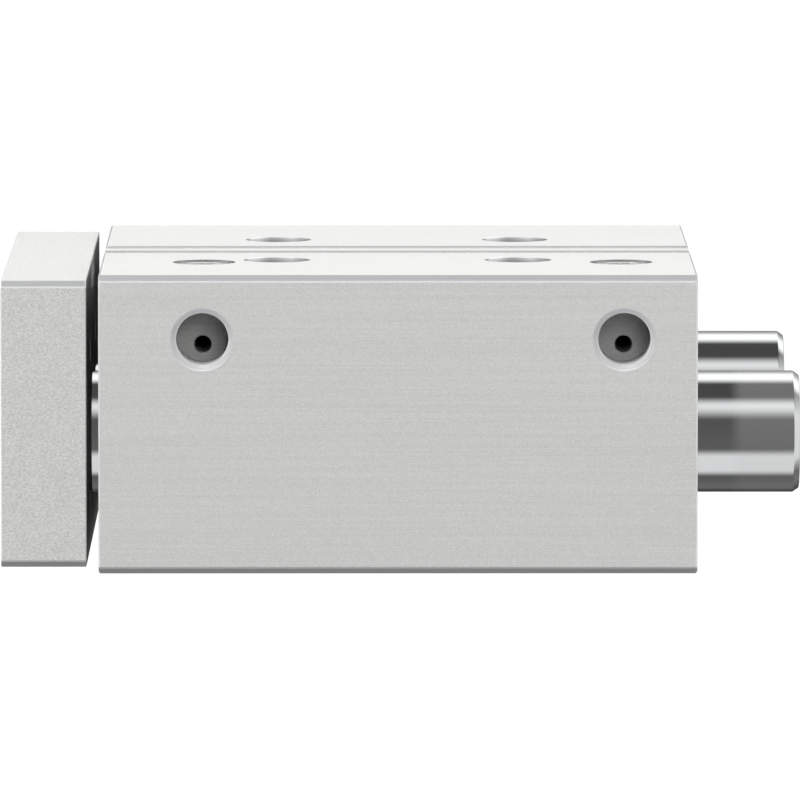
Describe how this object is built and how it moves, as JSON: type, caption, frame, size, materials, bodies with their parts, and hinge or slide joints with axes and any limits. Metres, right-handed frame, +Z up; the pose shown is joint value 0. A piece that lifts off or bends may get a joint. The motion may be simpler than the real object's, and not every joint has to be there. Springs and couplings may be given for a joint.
{
  "type": "guided pneumatic cylinder",
  "caption": "Guided pneumatic cylinder: a block housing whose sliding yoke plate is driven by a piston rod and kept square by guide rods, with air ports, sensor slots and mounting holes.",
  "frame": {"origin": "centre of the housing's underside, which is the centre of its mounting hole pattern", "axes": "+X along the rods towards the rear, so the yoke plate advances along -X; +Z up; -Y is the port side"},
  "size_m": [0.131, 0.11, 0.049],
  "materials": {
    "housing_anodised": "clear anodised over fine brushing",
    "plate_anodised": "clear anodised over fine blasting",
    "guide_rod_chrome": "hard chrome, ground and polished",
    "piston_rod_chrome": "hard chrome, ground and polished",
    "cap_aluminium": "turned, clear anodised",
    "piston_aluminium": "turned",
    "bush_bronze": "sintered bronze",
    "seal_rubber": "moulded nitrile rubber",
    "wiper_rubber": "moulded nitrile rubber",
    "bumper_rubber": "cast polyurethane",
    "spring_steel": "phosphated spring steel",
    "screw_steel": "zinc-plated",
    "plug_steel": "nickel-plated",
    "magnet_ferrite": "bonded ferrite",
    "guide_ring_plastic": "machined acetal"
  },
  "bodies": {
    "housing_body": {"housing": "housing_anodised", "bearing_cap": "cap_aluminium", "end_cap": "cap_aluminium", "rod_bush": "bush_bronze", "guide_bush_front_near": "bush_bronze", "guide_bush_front_far": "bush_bronze", "guide_bush_rear_near": "bush_bronze", "guide_bush_rear_far": "bush_bronze", "rod_seal": "seal_rubber", "bearing_cap_o_ring": "seal_rubber", "end_cap_o_ring": "seal_rubber", "guide_wiper_front_near": "wiper_rubber", "guide_wiper_front_far": "wiper_rubber", "guide_wiper_rear_near": "wiper_rubber", "guide_wiper_rear_far": "wiper_rubber", "front_bumper": "bumper_rubber", "rear_bumper": "bumper_rubber", "front_retaining_ring": "spring_steel", "rear_retaining_ring": "spring_steel", "port_plug_front": "plug_steel", "port_plug_rear": "plug_steel"},
    "carriage": {"yoke_plate": "plate_anodised", "guide_rod_near": "guide_rod_chrome", "guide_rod_far": "guide_rod_chrome", "piston_rod": "piston_rod_chrome", "piston_front_half": "piston_aluminium", "piston_rear_half": "piston_aluminium", "piston_o_ring": "seal_rubber", "piston_seal_front": "seal_rubber", "piston_seal_rear": "seal_rubber", "guide_rod_screw_near": "screw_steel", "guide_rod_screw_far": "screw_steel", "piston_rod_screw": "screw_steel", "piston_screw": "screw_steel", "piston_magnet": "magnet_ferrite", "piston_guide_ring": "guide_ring_plastic"}
  },
  "joints": [
    {"name": "stroke_slide", "type": "slide", "parent": "housing_body", "child": "carriage", "axis": [-1, 0, 0], "range_m": [0, 0.05]}
  ]
}
